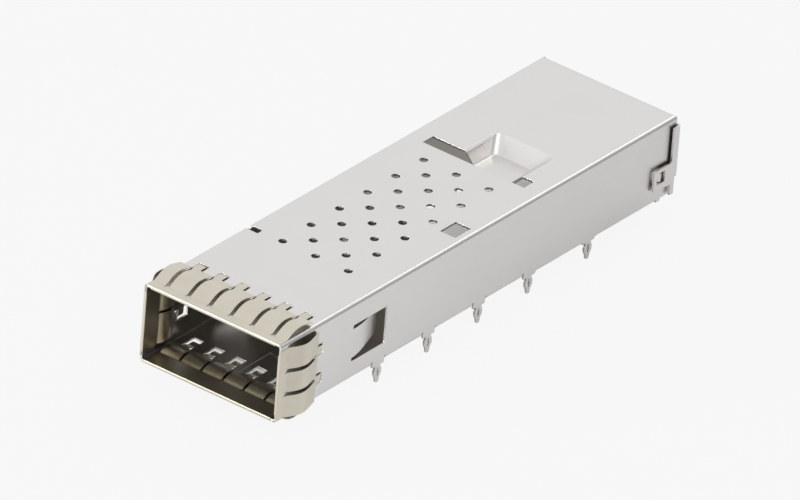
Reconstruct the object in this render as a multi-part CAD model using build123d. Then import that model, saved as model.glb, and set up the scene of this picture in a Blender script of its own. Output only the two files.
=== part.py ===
from build123d import *
import os
from math import cos, radians, sin

# Pluggable module cage: one folded sheet shell and four spring strips round its mouth.
# Millimetres. X across, Y from the mouth to the rear, Z up.
# The origin lies in the circuit board's top surface, at the middle of the mouth.

# Shell sheet and outline
sheet = 0.25
bend_radius = 0.20
shell_width = 19.0
shell_height = 9.65
board_gap = 0.30
rear_face_y = 71.15
rear_bend_radius = 0.45
rear_gap = 0.05

# Spring strip section, folded over the front edge of the shell
strip_sheet = 0.07
strip_clearance = 0.01
strip_fold_radius = 0.02
outer_flat = 1.25
outer_ramp_radius = 0.40
outer_ramp_angle = 30.0
outer_ramp_run = 0.80
outer_crest_radius = 3.00
outer_fall_angle = 14.0
outer_fall_run = 1.45
side_fall_run = 1.90
outer_toe_radius = 0.25
outer_toe_angle = 40.0
outer_toe_run = 0.15
inner_flat = 2.40
inner_ramp_angle = 28.0
inner_ramp_run = 0.30
inner_crest_radius = 2.20
inner_rise_angle = 20.0
inner_tip_level = 0.05
inner_tip_run = 0.85

# Spring strip plan, with x along the strip
finger_pitch = 2.96
side_finger_pitch = 2.94
outer_slot = 0.50
inner_slot = 0.35
outer_slot_start = 1.00
inner_slot_start = 2.45
finger_corner = 0.25
tip_width = 1.05
tip_taper = 0.55
long_slot_count = 6
long_strip_margin = 0.25
side_slot_count = 2
side_strip_shift = 0.25
side_strip_margin = 0.43
side_inner_margin = 0.97
side_tip_pitch = 3.71
side_tip_shift = 0.11
tip_window_width = 1.38
tip_window_front = 5.35
tip_window_rear = 7.85

# Press-fit pins, cut in the plane of the side walls
pin_pitch = 9.0
first_pin_y = 18.15
bottom_pin_count = 4
rear_pin_y = 55.85
pin_shoulder = 2.05
pin_relief = 0.25
pin_relief_height = 0.53
pin_neck = 0.90
pin_eye_width = 1.32
pin_eye_opening = 0.34
pin_eye_height = 1.30
pin_tip_width = 0.50
pin_length = 2.17
pin_neck_length = 0.20
foot_setback = 2.75
foot_width = 0.70

# Bottom flanges and the dovetails that lock them
seam_gap = 0.08
dovetail_ys = (12.0, 24.0, 36.0)
dovetail_reach = 1.6
dovetail_neck = 1.8
dovetail_flare = 0.5

# Latch flaps in the side walls
latch_front = 13.10
latch_length = 5.95
latch_height = 4.57
latch_drop = 2.80
latch_slit = 0.48
latch_low_slit = 0.45
latch_low_run = 0.50
latch_tongue_length = 5.40
latch_tongue_lift = 1.15
latch_bend_radius = 11.0
latch_bend_angle = 13.5
latch_corner = 0.30
latch_low_corner = 1.10

# Vent holes in the roof
vent_diameter = 1.0
vent_pitch_x = 2.29
vent_pitch_y = 5.005
vent_first_y = 18.05
vent_columns = 5
vent_rows = 6

# Roof slot, pressed scoop, window and edge notch
slot_front = 46.12
slot_length = 1.86
slot_width = 14.20
scoop_left = 2.50
scoop_right = 5.50
scoop_back = 53.95
scoop_depth = 1.80
scoop_left_run = 0.85
scoop_right_run = 1.90
scoop_back_run = 1.50
scoop_front_lean = 0.55
scoop_corner = 0.90
scoop_floor_radius = 0.25
scoop_lip = 0.18
window_x = 7.43
window_y = 33.48
window_width = 2.13
window_length = 2.85
notch_y = 17.90
notch_length = 1.00
notch_width = 1.90

# Rear flaps that wrap the side walls, and their catches
flap_clearance = 0.24
flap_bend_radius = 0.20
flap_drop = 1.05
flap_bottom = 0.40
flap_reach = 1.30
flap_bend_end = 2.11
flap_foot_setback = 0.65
tab_reach = 4.43
tab_drop = 5.37
tab_height = 2.74
tab_corner = 0.35
hook_window_setback = 3.90
hook_window_length = 1.45
hook_window_drop = 5.84
hook_window_height = 1.42
catch_setback = 3.62
catch_length = 1.20
catch_drop = 6.04
catch_height = 1.25
catch_slit = 0.10
catch_angle = 30.0
catch_run = 0.60

half_width = shell_width / 2
top_z = board_gap + shell_height
middle_z = board_gap + shell_height / 2
outer_radius = bend_radius + sheet
shell_front_y = strip_sheet + strip_fold_radius + strip_clearance
side_rear_y = rear_face_y - sheet - rear_gap
foot_y = rear_face_y - foot_setback
pin_ys = [first_pin_y + pin_pitch * i for i in range(bottom_pin_count)]
bottom_end_y = pin_ys[-1] - pin_shoulder / 2 - pin_relief
through = 4 * sheet


def across(x, y, z):
    """Plane whose local x is depth, local y is height and normal is +X."""
    return Plane(origin=(x, y, z), x_dir=(0, 1, 0), z_dir=(1, 0, 0))


def upright(y):
    """Plane across the cage, whose local x is width, local y is height and normal is +Y."""
    return Plane(origin=(0, y, 0), x_dir=(-1, 0, 0), z_dir=(0, 1, 0))


def block(x_range, y_range, z_range):
    """Box between the given limits."""
    size = [high - low for low, high in (x_range, y_range, z_range)]
    centre = [(low + high) / 2 for low, high in (x_range, y_range, z_range)]
    return Pos(*centre) * Box(*size)


def both_sides(solid):
    """A right-hand feature with its mirror image on the left."""
    return solid + mirror(solid, about=Plane.YZ)


def edge_chain(point, heading, steps, offset, thickness):
    """One long side of a bent strip. A step is a run, or an inside radius and a turn in degrees."""
    x, y = point
    angle = radians(heading)
    x -= offset * sin(angle)
    y += offset * cos(angle)
    edges = []
    for step in steps:
        if isinstance(step, tuple):
            radius, turn = step
            side = 1 if turn > 0 else -1
            reach = radius + (thickness - offset if turn > 0 else offset)
            cx, cy = x - side * reach * sin(angle), y + side * reach * cos(angle)
            half = angle + radians(turn) / 2
            angle += radians(turn)
            middle = (cx + side * reach * sin(half), cy - side * reach * cos(half))
            end = (cx + side * reach * sin(angle), cy - side * reach * cos(angle))
            edges.append(ThreePointArc((x, y), middle, end))
        else:
            end = (x + step * cos(angle), y + step * sin(angle))
            edges.append(Line((x, y), end))
        x, y = end
    return edges


def bent_sheet(point, heading, steps, thickness):
    """Section of a bent sheet that lies to the left of the path."""
    near = edge_chain(point, heading, steps, 0, thickness)
    far = edge_chain(point, heading, steps, thickness, thickness)
    caps = [Line(near[0] @ 0, far[0] @ 0), Line(near[-1] @ 1, far[-1] @ 1)]
    return make_face(near + far + caps)


def closed_tube(y_start, y_end):
    """Four-sided stretch of the shell."""
    outer = RectangleRounded(shell_width, shell_height, outer_radius)
    inner = RectangleRounded(shell_width - 2 * sheet, shell_height - 2 * sheet, bend_radius)
    ring = upright(y_start) * Pos(0, middle_z) * (outer - inner)
    return extrude(ring, amount=y_end - y_start)


def open_channel(y_start, y_end):
    """Stretch of roof and side walls with a plain lower edge."""
    tall = 2 * shell_height
    outer = RectangleRounded(shell_width, tall, outer_radius)
    inner = RectangleRounded(shell_width - 2 * sheet, tall - 2 * sheet, bend_radius)
    ring = Pos(0, board_gap) * (outer - inner)
    kept = Pos(0, middle_z) * Rectangle(shell_width, shell_height)
    return extrude(upright(y_start) * (ring & kept), amount=y_end - y_start)


def bottom_seam():
    """Gap between the two bottom flanges, with its dovetails."""
    z_range = (board_gap - sheet, board_gap + 2 * sheet)
    seam = block((-seam_gap / 2, seam_gap / 2), (0, bottom_end_y), z_range)

    def wedge(grow):
        neck = dovetail_neck / 2 + grow
        head = neck + dovetail_flare
        reach = dovetail_reach + grow
        back = -seam_gap / 2 + (0 if grow else seam_gap)
        return Polygon((back, -neck), (reach, -head), (reach, head), (back, neck), align=None)

    outline = wedge(seam_gap / 2) - wedge(-seam_gap / 2)
    for y in dovetail_ys:
        tail = Pos(0, y, z_range[0]) * extrude(outline, amount=z_range[1] - z_range[0])
        inside = block((-seam_gap, seam_gap), (y - dovetail_neck / 2 + seam_gap / 2,
                       y + dovetail_neck / 2 - seam_gap / 2), z_range)
        seam = seam - inside + tail
    return seam


def pin_outline(y, flared):
    """Elevation of one press-fit pin, from its shoulder to its tip."""
    shoulder, neck, eye, tip = (w / 2 for w in (pin_shoulder, pin_neck, pin_eye_width, pin_tip_width))
    eye_low = -pin_neck_length - pin_eye_height
    root = board_gap + pin_relief_height
    right = [
        Line((0, root), (shoulder, root)),
        Line((shoulder, root), (shoulder, 0)),
        Line((shoulder, 0), (neck, 0)),
        Line((neck, 0), (neck, -pin_neck_length)),
        ThreePointArc((neck, -pin_neck_length), (eye, -pin_neck_length - pin_eye_height / 2),
                      (neck * 0.8, eye_low)),
        Line((neck * 0.8, eye_low), (tip, -pin_length + tip / 2)),
        ThreePointArc((tip, -pin_length + tip / 2), (tip * 0.6, -pin_length + tip * 0.12),
                      (0, -pin_length)),
        Line((0, -pin_length), (0, root)),
    ]
    half = make_face(right)
    top, low = -pin_neck_length * 0.8, eye_low + 0.1
    middle = (top + low) / 2
    slot = make_face([
        ThreePointArc((0, top), (pin_eye_opening / 2, middle), (0, low)),
        Line((0, low), (0, top)),
    ])
    half = half - slot
    whole = half + mirror(half, about=Plane.YZ)
    for side in flared:
        radius = board_gap * 0.9
        corner = Pos(side * (shoulder + radius / 2), board_gap - radius / 2) * Rectangle(radius, radius)
        bite = Pos(side * (shoulder + radius), board_gap - radius) * Circle(radius)
        whole = whole + (corner - bite)
    return across(half_width - sheet, y, 0) * whole


def wall_pins():
    """Right-hand row of pins and the rear foot, as thick as the wall."""
    pins = [pin_outline(y, (1,) if y == pin_ys[-1] else ()) for y in pin_ys]
    pins.append(pin_outline(rear_pin_y, (-1, 1)))
    row = extrude(pins[0], amount=sheet)
    for pin in pins[1:]:
        row = row + extrude(pin, amount=sheet)
    foot = block((half_width - sheet, half_width),
                 (foot_y - foot_width / 2, foot_y + foot_width / 2), (0, board_gap + sheet))
    return row + foot


def pin_reliefs():
    """Right-hand clearances that free each pin from the bottom bend."""
    cuts = []
    root = board_gap + pin_relief_height
    reach = pin_shoulder / 2 + pin_relief
    for y in pin_ys:
        rear = reach if y != pin_ys[-1] else pin_shoulder / 2
        cuts.append(block((half_width - outer_radius - sheet, half_width + sheet),
                          (y - reach, y + rear), (-sheet, root)))
    return cuts


def latch_tongue():
    """Right-hand spring tongue, bent inwards from the front edge of its window."""
    steps = [sheet, (latch_bend_radius, latch_bend_angle), latch_tongue_length]
    section = bent_sheet((half_width, latch_front - sheet), 90, steps, sheet)
    low = top_z - latch_drop - latch_height
    top = top_z - latch_drop - latch_slit
    end_y = latch_front + latch_tongue_length
    outline = Polygon((latch_front - sheet, low + latch_low_slit),
                      (latch_front + latch_low_run, low + latch_low_slit),
                      (end_y, low + latch_tongue_lift), (end_y, top),
                      (latch_front - sheet, top), align=None)
    lower, upper = outline.vertices().group_by(Axis.X)[-1].sort_by(Axis.Y)
    outline = fillet(lower, latch_low_corner)
    upper = outline.vertices().sort_by(Axis.X)[-2:].sort_by(Axis.Y)[-1]
    outline = fillet(upper, latch_corner)
    outline = extrude(across(half_width / 2, 0, 0) * outline, amount=half_width, both=True)
    return (Pos(0, 0, low) * extrude(section, amount=latch_height)) & outline


def latch_window():
    """Right-hand opening round the latch tongue."""
    return block((half_width - 2 * sheet, half_width + sheet), (latch_front, latch_front + latch_length),
                 (top_z - latch_drop - latch_height, top_z - latch_drop))


def vent_holes():
    """Staggered roof holes: the odd columns have one hole more than the even ones."""
    cuts = []
    for column in range(vent_columns):
        x = (column - (vent_columns - 1) / 2) * vent_pitch_x
        shift = column % 2
        for row in range(vent_rows - shift):
            y = vent_first_y + (row + shift / 2) * vent_pitch_y
            cuts.append(Pos(x, y, top_z) * Cylinder(vent_diameter / 2, through))
    return cuts


def scoop_bowl(grow):
    """Tapered bowl of the scoop: its upper surface, or grown by the sheet its lower one."""
    front = slot_front + slot_length - 2 * scoop_depth

    def outline(run_left, run_right, run_back):
        left = -scoop_left + run_left - grow
        right = scoop_right - run_right + grow
        length = scoop_back - run_back - front
        face = RectangleRounded(right - left, length + 2 * grow, scoop_corner + grow)
        return Pos((left + right) / 2, front + length / 2) * face

    floor = outline(scoop_left_run, scoop_right_run, scoop_back_run)
    lower = Plane.XY.offset(top_z - scoop_depth - grow) * floor
    upper = Plane.XY.offset(top_z) * outline(0, 0, 0)
    bowl = loft(Sketch() + [lower, upper])
    return fillet(bowl.faces().sort_by(Axis.Z)[0].edges(), scoop_floor_radius + grow)


def scoop():
    """Pressed scoop behind the slot, open to the front."""
    bowl = scoop_bowl(sheet) - scoop_bowl(0)
    front = slot_front + slot_length
    deep = scoop_depth + sheet
    lean = scoop_front_lean * deep / scoop_depth
    before = Polygon((-9, 0.1), (-9, -deep - 0.2), (lean, -deep - 0.2), (lean, -deep), (0, 0),
                     (0, 0.1), align=None)
    before = extrude(across(0, front, top_z) * before, amount=half_width, both=True)
    return bowl - before


def scoop_lip_cut():
    """Eased edge where the roof turns down into the left side of the scoop."""
    low_x = -scoop_left + scoop_lip * scoop_left_run / scoop_depth
    wedge = Polygon((-scoop_left - scoop_lip, 0), (low_x, -scoop_lip), (low_x, sheet),
                    (-scoop_left - scoop_lip, sheet), align=None)
    front = slot_front + slot_length / 2
    back = scoop_back - scoop_corner
    wedge = Plane(origin=(0, front, top_z), x_dir=(1, 0, 0), z_dir=(0, -1, 0)) * wedge
    return extrude(wedge, amount=front - back)


def rear_panel():
    """Rear wall, bent down from the roof, with side flaps folded forward outside the walls."""
    reach = half_width - outer_radius
    drop = shell_height - sheet - rear_bend_radius - (flap_bottom - board_gap)
    start_y = rear_face_y - sheet - rear_bend_radius
    steps = [rear_gap + sheet, (rear_bend_radius, -90), drop]
    section = bent_sheet((start_y - rear_gap - sheet, top_z - sheet), 0, steps, sheet)
    wall = extrude(across(-reach, 0, 0) * section, amount=2 * reach)

    flap_x = half_width + flap_clearance
    flap_front = rear_face_y - flap_reach
    plan_steps = [flap_x - flap_bend_radius, (flap_bend_radius, -90)]
    plan_steps.append(flap_reach - sheet - flap_bend_radius)
    plan = bent_sheet((0, rear_face_y - sheet), 0, plan_steps, sheet)
    flap_top = top_z - flap_drop
    side = Pos(0, 0, flap_bottom) * extrude(plan, amount=flap_top - flap_bottom)
    tab_low = top_z - tab_drop - tab_height
    tab_length = tab_reach - flap_reach
    tab = Pos(flap_front - tab_length / 2, tab_low + tab_height / 2) * Rectangle(tab_length, tab_height)
    tab = fillet(tab.vertices().group_by(Axis.X)[0], tab_corner)
    tab = extrude(across(flap_x, 0, 0) * tab, amount=sheet)
    free = block((half_width - sheet, half_width + shell_width),
                 (rear_face_y - flap_foot_setback, rear_face_y + sheet),
                 (flap_bottom - sheet, flap_bottom + flap_bend_end))
    side = side + tab - free - hook_window()
    return wall + both_sides(side)


def hook_window():
    """Right-hand window in the rear flap, which the catch of the side wall reaches into."""
    front = rear_face_y - hook_window_setback
    top = top_z - hook_window_drop
    return block((half_width + flap_clearance / 2, half_width + flap_clearance + 2 * sheet),
                 (front, front + hook_window_length), (top - hook_window_height, top))


def catch_opening():
    """Right-hand opening in the side wall that the catch is bent out of."""
    front = rear_face_y - catch_setback
    top = top_z - catch_drop
    return block((half_width - 2 * sheet, half_width + sheet),
                 (front, front + catch_length), (top - catch_height, top))


def catch():
    """Right-hand catch, bent out of the side wall towards the window of the flap."""
    low = top_z - catch_drop - catch_height + catch_slit
    steps = [2 * sheet, (bend_radius, -catch_angle), catch_run]
    section = bent_sheet((half_width, rear_face_y - catch_setback - 2 * sheet), 90, steps, sheet)
    return Pos(0, 0, low) * extrude(section, amount=catch_height - 2 * catch_slit)


def tip_windows():
    """Openings behind the front edge that the inner finger tips come out through."""
    cuts = []
    y_range = (tip_window_front, tip_window_rear)
    half = tip_window_width / 2
    for x in slot_places(long_slot_count, finger_pitch):
        for z in (board_gap, top_z):
            cuts.append(block((x - half, x + half), y_range, (z - 1.5 * sheet, z + 1.5 * sheet)))
    for place in side_tip_places():
        for side in (-1, 1):
            x = side * half_width
            z = middle_z - side * (side_strip_shift + place)
            cuts.append(block((x - 1.5 * sheet, x + 1.5 * sheet), y_range, (z - half, z + half)))
    return cuts


def cage_shell():
    """The whole folded shell as one sheet."""
    body = closed_tube(shell_front_y, bottom_end_y) + open_channel(bottom_end_y, side_rear_y)
    body = body - block((-half_width + outer_radius, half_width - outer_radius),
                        (rear_face_y - sheet - rear_bend_radius, rear_face_y), (top_z - sheet, top_z + sheet))
    roof = block((-slot_width / 2, slot_width / 2), (slot_front, slot_front + slot_length),
                 (top_z - 2 * sheet, top_z + sheet))
    window = block((window_x - window_width / 2, window_x + window_width / 2),
                   (window_y - window_length / 2, window_y + window_length / 2),
                   (top_z - 2 * sheet, top_z + sheet))
    notch = block((-half_width - sheet, -half_width + notch_width),
                  (notch_y - notch_length / 2, notch_y + notch_length / 2),
                  (top_z - outer_radius, top_z + sheet))
    cuts = [roof, window, notch, bottom_seam(), latch_window(), mirror(latch_window(), about=Plane.YZ)]
    for relief in pin_reliefs():
        cuts += [relief, mirror(relief, about=Plane.YZ)]
    cuts += vent_holes() + tip_windows()
    cuts.append(scoop_bowl(0) & block((-half_width, half_width), (slot_front + slot_length, rear_face_y),
                                      (0, top_z + sheet)))
    cuts += [catch_opening(), mirror(catch_opening(), about=Plane.YZ)]
    body = body - cuts
    body = body + scoop() - scoop_lip_cut() + both_sides(wall_pins()) + both_sides(latch_tongue())
    return body + both_sides(catch()) + rear_panel()


def slot_places(count, pitch):
    """Places of the slots along a strip, about its middle."""
    return [(i - (count - 1) / 2) * pitch for i in range(count)]


def side_tip_places():
    """Places of the two inner tips of a side strip, about its middle."""
    return [side_tip_shift - side_tip_pitch / 2, side_tip_shift + side_tip_pitch / 2]


def finger_limits(ends, slots, gap):
    """Lower and upper limit of each finger between the ends of a leaf."""
    edges = [ends[0]] + [x + side * gap / 2 for x in slots for side in (-1, 1)] + [ends[1]]
    return list(zip(edges[::2], edges[1::2]))


def outer_leaf(ends, slots, fall_run):
    """Outer leaf with its row of bowed fingers. Height 0 is the outer face of the shell."""
    start = (strip_sheet, -sheet / 2)
    rise = sheet / 2 + strip_clearance - strip_fold_radius
    steps = [
        rise,
        (strip_fold_radius, -90),
        outer_flat - strip_sheet - strip_fold_radius,
        (outer_ramp_radius, outer_ramp_angle),
        outer_ramp_run,
        (outer_crest_radius, -outer_ramp_angle - outer_fall_angle),
        fall_run,
        (outer_toe_radius, -outer_toe_angle),
        outer_toe_run,
    ]
    length = ends[1] - ends[0]
    leaf = extrude(across(ends[0], 0, 0) * bent_sheet(start, 90, steps, strip_sheet), amount=length)
    end_y = leaf.bounding_box().max.Y
    plan = Pos(ends[0] + length / 2, outer_slot_start / 2) * Rectangle(length, outer_slot_start)
    for low, high in finger_limits(ends, slots, outer_slot):
        reach = end_y - outer_slot_start / 2
        finger = Pos((low + high) / 2, end_y - reach / 2) * Rectangle(high - low, reach)
        plan = plan + chamfer(finger.vertices().group_by(Axis.Y)[-1], finger_corner)
    return leaf & Pos(0, 0, -shell_height / 2) * extrude(plan, amount=shell_height)


def inner_leaf(ends, slots, tips):
    """Inner leaf, whose fingers bow inwards and whose narrow tips rise into the shell's windows."""
    start = (strip_sheet, -sheet / 2)
    drop = sheet / 2 + strip_clearance - strip_fold_radius
    path = [
        drop,
        (strip_fold_radius, 90),
        inner_flat - strip_sheet - strip_fold_radius,
        (outer_ramp_radius, -inner_ramp_angle),
        inner_ramp_run,
        (inner_crest_radius, inner_ramp_angle + inner_rise_angle),
    ]
    crest = edge_chain(start, -90, path, 0, strip_sheet)[-1] @ 1
    bend_rise = (bend_radius + strip_sheet) * (1 - cos(radians(inner_rise_angle)))
    rise = inner_tip_level - bend_rise - crest.Y
    steps = path + [rise / sin(radians(inner_rise_angle)), (bend_radius, -inner_rise_angle),
                    inner_tip_run]
    section = bent_sheet_right(start, -90, steps, strip_sheet)
    length = ends[1] - ends[0]
    leaf = extrude(across(ends[0], 0, 0) * section, amount=length)
    end_y = leaf.bounding_box().max.Y
    plan = Pos(ends[0] + length / 2, inner_slot_start / 2) * Rectangle(length, inner_slot_start)
    shoulder = tip_window_front - tip_taper
    for (low, high), tip in zip(finger_limits(ends, slots, inner_slot), tips):
        half = tip_width / 2
        finger = Polygon((low, inner_slot_start / 2), (high, inner_slot_start / 2), (high, shoulder),
                         (tip + half, tip_window_front), (tip + half, end_y), (tip - half, end_y),
                         (tip - half, tip_window_front), (low, shoulder), align=None)
        plan = plan + chamfer(finger.vertices().group_by(Axis.Y)[-1], finger_corner / 2)
    return leaf & Pos(0, 0, -shell_height / 2) * extrude(plan, amount=shell_height)


def bent_sheet_right(point, heading, steps, thickness):
    """Section of a bent sheet that lies to the right of the path."""
    turned = [(step[0], -step[1]) if isinstance(step, tuple) else step for step in steps]
    mirrored = bent_sheet((point[0], -point[1]), -heading, turned, thickness)
    return mirror(mirrored, about=Plane.XZ)


def long_strip():
    """Strip for the roof or the bottom, lying on a level face at height 0."""
    slots = slot_places(long_slot_count, finger_pitch)
    inner_half = finger_pitch * long_slot_count / 2 - inner_slot / 2
    outer_half = half_width - long_strip_margin
    outer = outer_leaf((-outer_half, outer_half), slots, outer_fall_run)
    inner = inner_leaf((-inner_half, inner_half), slot_places(long_slot_count - 1, finger_pitch), slots)
    return outer + inner


def short_strip():
    """Strip for a side wall, a little off the middle of the wall."""
    outer_half = shell_height / 2 - side_strip_margin
    inner_half = shell_height / 2 - side_inner_margin
    outer = outer_leaf((-outer_half, outer_half), slot_places(side_slot_count, side_finger_pitch),
                       side_fall_run)
    inner = inner_leaf((-inner_half, inner_half - side_strip_shift), [side_tip_shift],
                       side_tip_places())
    return outer + inner


parts = {
    "cage_shell": cage_shell(),
    "emi_strip_top": Pos(0, 0, top_z) * long_strip(),
    "emi_strip_bottom": Pos(0, 0, board_gap) * Rot(0, 180, 0) * long_strip(),
    "emi_strip_right": Pos(half_width, 0, middle_z - side_strip_shift) * Rot(0, 90, 0) * short_strip(),
    "emi_strip_left": Pos(-half_width, 0, middle_z + side_strip_shift) * Rot(0, -90, 0) * short_strip(),
}

os.makedirs("parts", exist_ok=True)
for name, shape in parts.items():
    export_step(shape, f"parts/{name}.step")
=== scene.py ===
"""Looks of the module cage: plated sheet, spring strips, studio and camera."""
import logging
from dataclasses import dataclass, field
from enum import Enum

import bpy
from mathutils import Matrix, Vector


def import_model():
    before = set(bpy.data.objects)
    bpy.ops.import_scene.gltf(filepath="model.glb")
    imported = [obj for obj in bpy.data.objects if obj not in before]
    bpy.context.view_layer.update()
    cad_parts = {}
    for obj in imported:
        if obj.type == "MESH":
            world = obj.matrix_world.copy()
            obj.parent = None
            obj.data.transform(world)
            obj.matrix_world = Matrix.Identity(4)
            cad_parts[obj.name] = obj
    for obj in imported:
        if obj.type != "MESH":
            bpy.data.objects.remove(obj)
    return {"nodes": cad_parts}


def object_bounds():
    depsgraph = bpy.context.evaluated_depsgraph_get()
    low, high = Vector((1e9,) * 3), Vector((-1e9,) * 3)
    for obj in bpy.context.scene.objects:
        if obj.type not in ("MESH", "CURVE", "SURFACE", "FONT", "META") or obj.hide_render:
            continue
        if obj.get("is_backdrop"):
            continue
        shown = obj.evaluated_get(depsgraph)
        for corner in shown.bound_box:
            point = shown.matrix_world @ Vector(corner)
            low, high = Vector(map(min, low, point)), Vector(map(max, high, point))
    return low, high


MM = 0.001
LOG = logging.getLogger("cage")

# The sRGB curve: a straight foot up to the knee, and a power above it.
SRGB_KNEE = 0.04045
SRGB_FOOT = 12.92
SRGB_OFFSET = 0.055
SRGB_POWER = 2.4


class Slot(Enum):
    """Material slots of the record."""

    SHELL = "shell_sheet"
    SPRING = "spring_strip"


def linear(hex_colour: str) -> tuple[float, float, float, float]:
    """Turns an sRGB hex colour to linear light.

    Args:
        hex_colour: Six hex digits with a leading hash.

    Returns:
        Linear red, green, blue and an alpha of 1.
    """
    channels = [int(hex_colour[i:i + 2], 16) / 255 for i in (1, 3, 5)]
    return (*(c / SRGB_FOOT if c <= SRGB_KNEE
              else ((c + SRGB_OFFSET) / (1 + SRGB_OFFSET)) ** SRGB_POWER for c in channels), 1.0)


def add_node(tree: bpy.types.NodeTree, kind: str, settings: dict | None = None,
             links: dict | None = None) -> bpy.types.Node:
    """Adds one node, sets it up and wires its inputs.

    Args:
        tree: Tree that takes the node.
        kind: Type name of the node.
        settings: Attributes by name, or values of inputs by name or number after "in:".
        links: Output sockets by the name or number of the input that each feeds.

    Returns:
        The new node.
    """
    node = tree.nodes.new(kind)
    for name, value in (settings or {}).items():
        if not name.startswith("in:"):
            setattr(node, name, value)
            continue
        key = name[3:]
        node.inputs[int(key) if key.isdigit() else key].default_value = value
    for name, socket in (links or {}).items():
        tree.links.new(socket, node.inputs[name])
    return node


def add_math(tree: bpy.types.NodeTree, operation: str, *values: float | bpy.types.NodeSocket
             ) -> bpy.types.NodeSocket:
    """Adds one sum on two numbers.

    Args:
        tree: Tree that takes the node.
        operation: Name of the sum, such as MULTIPLY.
        *values: Numbers, or sockets that give them.

    Returns:
        Socket with the result.
    """
    settings = {f"in:{i}": v for i, v in enumerate(values) if isinstance(v, float)}
    links = {i: v for i, v in enumerate(values) if not isinstance(v, float)}
    return add_node(tree, "ShaderNodeMath", {"operation": operation, **settings}, links).outputs[0]


def add_ramp(tree: bpy.types.NodeTree, value: bpy.types.NodeSocket,
             reach: tuple[float, float] = (0.0, 1.0),
             result: tuple[float, float] = (0.0, 1.0)) -> bpy.types.NodeSocket:
    """Adds a straight ramp that stays level past both of its ends.

    Args:
        tree: Tree that takes the node.
        value: Socket that the ramp reads.
        reach: Values at which the ramp starts and ends.
        result: What it gives at its start and at its end.

    Returns:
        Socket with the result.
    """
    settings = {f"in:{i}": v for i, v in enumerate((*reach, *result), start=1)}
    return add_node(tree, "ShaderNodeMapRange", settings, {0: value}).outputs[0]


def painted_shade_share(tree: bpy.types.NodeTree, coordinates: bpy.types.Node,
                 axis_mm: tuple[float, float, float], width_mm: float) -> bpy.types.NodeSocket:
    """Masks faces that look into the cage, for painted shade, from the ones that look out.

    Args:
        tree: Tree that takes the nodes.
        coordinates: Texture coordinates of the material.
        axis_mm: A point on the line along the middle of the bay.
        width_mm: Distance over which the two tones run into each other.

    Returns:
        Socket that gives 1 on faces turned to the middle of the bay and 0 on the others.
    """
    offset = add_node(tree, "ShaderNodeVectorMath",
                      {"operation": "SUBTRACT", "in:1": Vector(axis_mm) * MM},
                      {0: coordinates.outputs["Object"]})
    flat = add_node(tree, "ShaderNodeVectorMath",
                    {"operation": "MULTIPLY", "in:1": (1.0, 0.0, 1.0)}, {0: offset.outputs[0]})
    outward = add_node(tree, "ShaderNodeVectorMath", {"operation": "DOT_PRODUCT"},
                       {0: flat.outputs[0], 1: coordinates.outputs["Normal"]})
    return add_ramp(tree, outward.outputs["Value"], (0.0, -width_mm * MM))


@dataclass(frozen=True)
class PlatedSheet:
    """Rolled and plated metal sheet: the fields and the build that both finishes share.

    The tone clouds between two close colours. Painted shade darkens the faces that look into the
    bay, so the mouth reads as deep. Rolling lines vary the roughness and the height a little,
    and each edge catches the light as a burnished line.
    """

    name: str
    colour: str
    colour_low: str
    # painted shade: colour of the faces that look into the bay
    inside_colour: str
    roughness: float
    grain_mm: float
    grain_scale: tuple[float, float, float]
    grain_depth_mm: float
    cloud_mm: float
    edge_mm: float
    roughness_change: tuple[float, float] = (-0.015, 0.02)
    grain_detail: float = 3.0
    grain_strength: float = 0.012
    cloud_detail: float = 2.0
    edge_samples: int = 6
    axis_mm: tuple[float, float, float] = (0.0, 0.0, 5.1)
    inside_width_mm: float = 0.5

    def build(self) -> bpy.types.Material:
        """Builds the node material.

        Returns:
            The material.
        """
        material = bpy.data.materials.new(self.name)
        material.use_nodes = True
        tree = material.node_tree
        shader = tree.nodes["Principled BSDF"]
        coordinates = add_node(tree, "ShaderNodeTexCoord")
        stretch = add_node(tree, "ShaderNodeMapping", {"in:Scale": self.grain_scale},
                           {"Vector": coordinates.outputs["Object"]})
        grain = add_node(tree, "ShaderNodeTexNoise",
                         {"in:Scale": 1.0 / (self.grain_mm * MM), "in:Detail": self.grain_detail},
                         {"Vector": stretch.outputs[0]}).outputs["Fac"]
        cloud = add_node(tree, "ShaderNodeTexNoise",
                         {"in:Scale": 1.0 / (self.cloud_mm * MM), "in:Detail": self.cloud_detail},
                         {"Vector": coordinates.outputs["Object"]})
        tone = add_node(tree, "ShaderNodeMix",
                        {"data_type": "RGBA", "in:6": linear(self.colour_low),
                         "in:7": linear(self.colour)}, {0: cloud.outputs["Fac"]})
        # painted shade: faces turned into the bay are darkened toward the inside colour
        shade_in_bay = painted_shade_share(tree, coordinates, self.axis_mm, self.inside_width_mm)
        tone = add_node(tree, "ShaderNodeMix",
                        {"data_type": "RGBA", "in:7": linear(self.inside_colour)},
                        {0: shade_in_bay, 6: tone.outputs[2]})
        rough = add_ramp(tree, grain,
                         result=tuple(self.roughness + step for step in self.roughness_change))
        bevel = add_node(tree, "ShaderNodeBevel",
                         {"samples": self.edge_samples, "in:Radius": self.edge_mm * MM})
        bump = add_node(tree, "ShaderNodeBump",
                        {"in:Strength": self.grain_strength,
                         "in:Distance": self.grain_depth_mm * MM},
                        {"Height": grain, "Normal": bevel.outputs[0]})
        tree.links.new(tone.outputs[2], shader.inputs["Base Color"])
        tree.links.new(rough, shader.inputs["Roughness"])
        tree.links.new(bump.outputs[0], shader.inputs["Normal"])
        shader.inputs["Metallic"].default_value = 1.0
        return material


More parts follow.
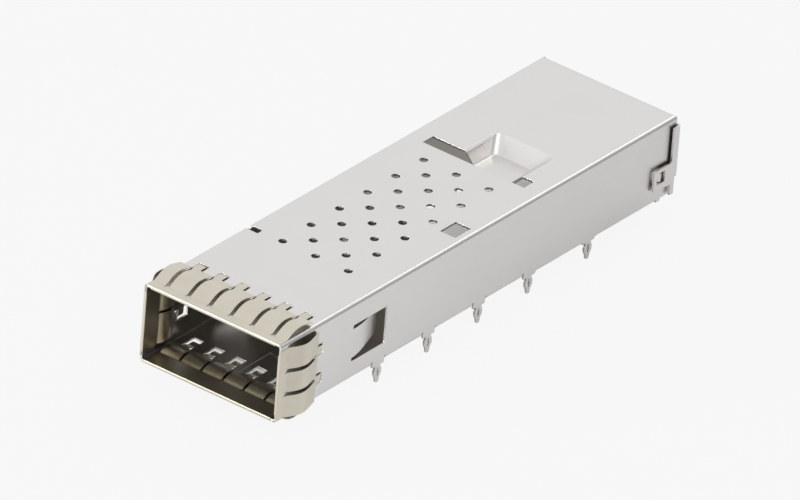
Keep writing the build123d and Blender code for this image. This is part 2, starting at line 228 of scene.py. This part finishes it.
@dataclass(frozen=True)
class RolledNickelSheet(PlatedSheet):
    """Cold rolled copper alloy sheet with a satin nickel plate, as stamped and folded.

    The plate gives the eye an even pale grey with soft reflections, faint rolling lines along
    the sheet and bright burnished lines where the tool has rounded an edge.
    """

    name: str = "satin_nickel_plated_sheet"
    colour: str = "#E2E0DE"
    colour_low: str = "#DEDCDA"
    # painted shade for the shell's faces inside the bay
    inside_colour: str = "#BDB8B2"
    roughness: float = 0.30
    grain_mm: float = 0.16
    grain_scale: tuple[float, float, float] = (1.0, 1 / 40, 1.0)
    grain_depth_mm: float = 0.004
    cloud_mm: float = 6.0
    edge_mm: float = 0.07


@dataclass(frozen=True)
class SpringStrip(PlatedSheet):
    """Hard rolled copper alloy spring strip with a thin satin tin nickel plate.

    The warm champagne tone and the soft long highlights along each bowed finger tell it from
    the colder grey of the shell.
    """

    name: str = "satin_plated_spring_strip"
    colour: str = "#D9D4C7"
    colour_low: str = "#CFC9BA"
    # painted shade for the strips' faces inside the bay
    inside_colour: str = "#C4BCAA"
    roughness: float = 0.31
    grain_mm: float = 0.12
    grain_scale: tuple[float, float, float] = (1 / 30, 1.0, 1 / 30)
    grain_depth_mm: float = 0.003
    cloud_mm: float = 2.0
    edge_mm: float = 0.04


@dataclass
class Shell:
    """The folded sheet shell, which keeps its own solid."""

    node: str = "cage_shell"
    finish: RolledNickelSheet = field(default_factory=RolledNickelSheet)

    def dress(self, nodes: dict[str, bpy.types.Object]) -> None:
        """Gives the shell its finish.

        Args:
            nodes: The part's solids by name.
        """
        piece = nodes[self.node]
        piece.data.materials.clear()
        piece.data.materials.append(self.finish.build())
        LOG.info("dressed %s", self.node)


@dataclass
class MouthStrips:
    """The four spring strips round the mouth, which keep their own solids."""

    names: tuple[str, ...] = ("emi_strip_top", "emi_strip_bottom",
                              "emi_strip_left", "emi_strip_right")
    finish: SpringStrip = field(default_factory=SpringStrip)

    def dress(self, nodes: dict[str, bpy.types.Object]) -> None:
        """Gives each strip its finish.

        Args:
            nodes: The part's solids by name.
        """
        material = self.finish.build()
        for name in self.names:
            piece = nodes[name]
            piece.data.materials.clear()
            piece.data.materials.append(material)
            LOG.info("dressed %s", name)


@dataclass(frozen=True)
class MattePaperFloor:
    """Uncoated white studio paper: an even pale ground with a soft shade round the cage.

    Seen past the cage the paper is almost evenly pale, with a trace of the cage's shade. The
    patch right under the cage, which shows through the openings, is in deep shade. Where the
    sheet mirrors the paper, painted shade makes it duller toward the rear and off the front
    right corner, standing in for the light that falls off there, and painted light makes the
    patch under the cage glow with an even tone, which lifts the shade inside the bay.

    Attributes:
        shown_share: Even tone, against lit paper, in what the camera sees beside the cage.
        shaded_share: The same for the patch under the cage.
        mirrored_painted_light_share: Painted light: even tone with which the patch under the cage
            glows in the sheet's reflections, lifting the shade inside the bay.
        rear_painted_shade: Painted shade: paper's tone in reflections at the rear end of its ramp.
        front_painted_shade: Painted shade: paper's tone in reflections at the front right end of
            its ramp.
    """

    name: str = "matte_studio_paper"
    colour: str = "#F7F7F7"
    fibre_mm: float = 1.5
    fibre_detail: float = 4.0
    fibre_strength: float = 0.02
    fibre_depth_mm: float = 0.02
    shown_share: float = 0.97
    shaded_share: float = 0.27
    # painted light: glow of the patch under the cage in reflections
    mirrored_painted_light_share: float = 0.40
    shaded_half_mm: tuple[float, float] = (7.4, 32.0)
    shaded_middle_mm: tuple[float, float, float] = (-1.9, 39.0, 0.0)
    shaded_edge_mm: float = 1.0
    # painted shade of the paper in reflections, duller to the rear and the front right
    rear_ramp_mm: tuple[float, float] = (10.0, 260.0)
    rear_painted_shade: float = 0.40
    front_toward: tuple[float, float, float] = (1.0, -0.5, 0.0)
    front_ramp_mm: tuple[float, float] = (12.0, 19.0)
    front_painted_shade: float = 0.78

    def build(self) -> bpy.types.Material:
        """Builds the node material.

        Returns:
            The material.
        """
        material = bpy.data.materials.new(self.name)
        material.use_nodes = True
        tree = material.node_tree
        tree.nodes.clear()
        place = add_node(tree, "ShaderNodeTexCoord").outputs["Object"]
        path = add_node(tree, "ShaderNodeLightPath")
        fibre = add_node(tree, "ShaderNodeTexNoise",
                         {"in:Scale": 1.0 / (self.fibre_mm * MM), "in:Detail": self.fibre_detail},
                         {"Vector": place})
        bump = add_node(tree, "ShaderNodeBump",
                        {"in:Strength": self.fibre_strength,
                         "in:Distance": self.fibre_depth_mm * MM},
                        {"Height": fibre.outputs["Fac"]})
        lit = add_node(tree, "ShaderNodeBsdfDiffuse", {},
                       {"Color": self._lit_colour_and_painted_shade(tree, place, path.outputs["Is Glossy Ray"]),
                        "Normal": bump.outputs[0]})
        even = add_node(tree, "ShaderNodeEmission", {"in:Color": linear(self.colour)})
        beside = self._beside(tree, place)
        seen = add_math(tree, "MULTIPLY", path.outputs["Is Camera Ray"],
                        add_ramp(tree, beside, result=(self.shaded_share, self.shown_share)))
        # painted light: in reflections the paper under the cage glows with an even tone, lifting
        # the shade in the bay
        mirrored_glow = add_math(tree, "MULTIPLY", path.outputs["Is Glossy Ray"],
                            add_ramp(tree, beside, result=(self.mirrored_painted_light_share, 0.0)))
        mixed = add_node(tree, "ShaderNodeMixShader", {},
                         {0: add_math(tree, "MAXIMUM", seen, mirrored_glow),
                          1: lit.outputs[0], 2: even.outputs[0]})
        add_node(tree, "ShaderNodeOutputMaterial", {}, {"Surface": mixed.outputs[0]})
        return material

    def _lit_colour_and_painted_shade(self, tree: bpy.types.NodeTree, place: bpy.types.NodeSocket,
                    glossy: bpy.types.NodeSocket) -> bpy.types.NodeSocket:
        """Colours the lit paper, with painted shade that makes it duller to the rear and the front
        right in reflections.

        Args:
            tree: Tree that takes the nodes.
            place: Place on the paper.
            glossy: Tells the rays of reflections from the others.

        Returns:
            Socket with the paper's colour.
        """
        parts = add_node(tree, "ShaderNodeSeparateXYZ", {}, {0: place})
        across = add_node(tree, "ShaderNodeVectorMath",
                          {"operation": "DOT_PRODUCT", "in:1": self.front_toward}, {0: place})
        # painted shade: in reflections the paper's colour falls off toward the front right and the
        # rear
        front = add_ramp(tree, across.outputs["Value"],
                         tuple(end * MM for end in self.front_ramp_mm), (1.0, self.front_painted_shade))
        rear = add_ramp(tree, parts.outputs["Y"],
                        tuple(end * MM for end in self.rear_ramp_mm), (1.0, self.rear_painted_shade))
        tone = add_math(tree, "MAXIMUM", add_math(tree, "MULTIPLY", front, rear),
                        add_math(tree, "SUBTRACT", 1.0, glossy))
        return add_node(tree, "ShaderNodeVectorMath",
                        {"operation": "SCALE", "in:0": linear(self.colour)[:3]},
                        {3: tone}).outputs[0]

    def _beside(self, tree: bpy.types.NodeTree,
                place: bpy.types.NodeSocket) -> bpy.types.NodeSocket:
        """Tells the paper beside the cage from the paper in its shade.

        Args:
            tree: Tree that takes the nodes.
            place: Place on the paper.

        Returns:
            Socket that gives 1 beside the cage and 0 under it.
        """
        offset = add_node(tree, "ShaderNodeVectorMath",
                          {"operation": "SUBTRACT", "in:1": Vector(self.shaded_middle_mm) * MM},
                          {0: place})
        reach = add_node(tree, "ShaderNodeVectorMath", {"operation": "ABSOLUTE"},
                         {0: offset.outputs[0]})
        parts = add_node(tree, "ShaderNodeSeparateXYZ", {}, {0: reach.outputs[0]})
        sides = [add_ramp(tree, parts.outputs[axis],
                          (half * MM, (half + self.shaded_edge_mm) * MM))
                 for half, axis in zip(self.shaded_half_mm, "XY")]
        return add_math(tree, "MAXIMUM", *sides)


@dataclass(frozen=True)
class SoftBox:
    """One soft lamp that faces the cage."""

    name: str
    place_mm: tuple[float, float, float]
    size_mm: float
    watts: float

    def build(self, aim: Vector) -> None:
        """Adds the lamp.

        Args:
            aim: Point that the lamp faces, in metres.
        """
        lamp = bpy.data.lights.new(self.name, "AREA")
        lamp.shape = "DISK"
        lamp.size = self.size_mm * MM
        lamp.energy = self.watts
        holder = bpy.data.objects.new(self.name, lamp)
        holder.location = Vector(self.place_mm) * MM
        holder.rotation_euler = (aim - holder.location).to_track_quat("-Z", "Y").to_euler()
        bpy.context.scene.collection.objects.link(holder)


@dataclass
class Studio:
    """Floor, lamps, surroundings and camera.

    The key lamp lights the corners from the right, the rear lamp draws the white line along
    the roof's folds, and the low front lamp lights the mouth and the fingers.

    Attributes:
        right: Camera's own right, as the photo's lines give it.
        up: Camera's own up.
        back: Way from the cage to the camera.
        dim_toward: Way to the dim side of the surroundings.
        dim_depth: Light lost at the horizon on that side.
        dim_spread: Nearness to that side at which the dimming starts and is full.
        full_height: Height of the direction in which nothing is lost any more.
    """

    floor_size_mm: float = 6000.0
    right: tuple[float, float, float] = (0.784177, 0.616726, 0.068737)
    up: tuple[float, float, float] = (-0.357112, 0.357912, 0.862774)
    back: tuple[float, float, float] = (0.507488, -0.701110, 0.500894)
    aim_mm: tuple[float, float, float] = (5.757, 25.723, 9.915)
    frame_width_mm: float = 87.60
    distance_mm: float = 2433.34
    sensor_mm: float = 36.0
    clip_m: tuple[float, float] = (0.001, 100.0)
    paper_tone: str = "#F7F7F7"
    dim_toward: tuple[float, float, float] = (0.71, 0.70, 0.0)
    dim_depth: float = 0.75
    dim_spread: tuple[float, float] = (0.4, 0.9)
    full_height: float = 1.0
    lamps: tuple[SoftBox, ...] = (
        SoftBox("key", (330.0, -110.0, 360.0), 220.0, 0.30),
        SoftBox("rear_strip", (0.0, 385.0, 345.0), 110.0, 0.08),
        SoftBox("front_low", (-250.0, -400.0, 60.0), 200.0, 1.4),
    )
    lamps_aim_mm: tuple[float, float, float] = (0.0, 35.0, 5.0)

    def build(self, lowest: float) -> None:
        """Builds everything round the cage.

        Args:
            lowest: Height of the cage's lowest point, in metres.
        """
        self._floor(lowest)
        self._surroundings()
        for lamp in self.lamps:
            lamp.build(Vector(self.lamps_aim_mm) * MM)
        self._camera()
        LOG.info("built studio")

    def _floor(self, height: float) -> None:
        """Adds the floor.

        Args:
            height: Height of the floor, in metres.
        """
        half = self.floor_size_mm * MM / 2
        turns = ((-1, -1), (1, -1), (1, 1), (-1, 1))
        mesh = bpy.data.meshes.new("floor")
        mesh.from_pydata([(x * half, y * half, height) for x, y in turns], [], [(0, 1, 2, 3)])
        floor = bpy.data.objects.new("floor", mesh)
        mesh.materials.append(MattePaperFloor().build())
        bpy.context.scene.collection.objects.link(floor)
        floor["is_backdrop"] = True

    def _surroundings(self) -> None:
        """Sets the light from all round, which is weaker behind the right side, low down most."""
        world = bpy.data.worlds.new("studio_surroundings")
        bpy.context.scene.world = world
        world.use_nodes = True
        tree = world.node_tree
        background = tree.nodes["Background"]
        background.inputs["Color"].default_value = linear(self.paper_tone)
        way = add_node(tree, "ShaderNodeTexCoord").outputs["Generated"]
        height = add_node(tree, "ShaderNodeSeparateXYZ", {}, {0: way}).outputs["Z"]
        toward = add_node(tree, "ShaderNodeVectorMath",
                          {"operation": "DOT_PRODUCT", "in:1": self.dim_toward}, {0: way})
        path = add_node(tree, "ShaderNodeLightPath")
        low = add_ramp(tree, height, (0.0, self.full_height), (self.dim_depth, 0.0))
        side = add_ramp(tree, toward.outputs["Value"], self.dim_spread)
        unseen = add_math(tree, "SUBTRACT", 1.0, path.outputs["Is Camera Ray"])
        lost = add_math(tree, "MULTIPLY", add_math(tree, "MULTIPLY", low, side), unseen)
        tree.links.new(add_math(tree, "SUBTRACT", 1.0, lost), background.inputs["Strength"])

    def _camera(self) -> None:
        """Adds the camera: so far off and with so long a lens that parallel edges stay so."""
        data = bpy.data.cameras.new("camera")
        data.sensor_width = self.sensor_mm
        data.lens = self.sensor_mm * self.distance_mm / self.frame_width_mm
        data.clip_start, data.clip_end = self.clip_m
        camera = bpy.data.objects.new("camera", data)
        turn = Matrix((self.right, self.up, self.back)).transposed().to_4x4()
        place = (Vector(self.aim_mm) + Vector(self.back) * self.distance_mm) * MM
        camera.matrix_world = Matrix.Translation(place) @ turn
        bpy.context.scene.collection.objects.link(camera)
        bpy.context.scene.camera = camera


def main() -> None:
    """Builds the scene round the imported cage."""
    logging.basicConfig(level=logging.INFO)
    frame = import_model()
    cad_box = [list(corner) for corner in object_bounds()]
    bpy.context.scene.view_settings.view_transform = "Standard"
    Studio().build(cad_box[0][2])
    Shell().dress(frame["nodes"])
    MouthStrips().dress(frame["nodes"])


if __name__ == "__main__":
    main()
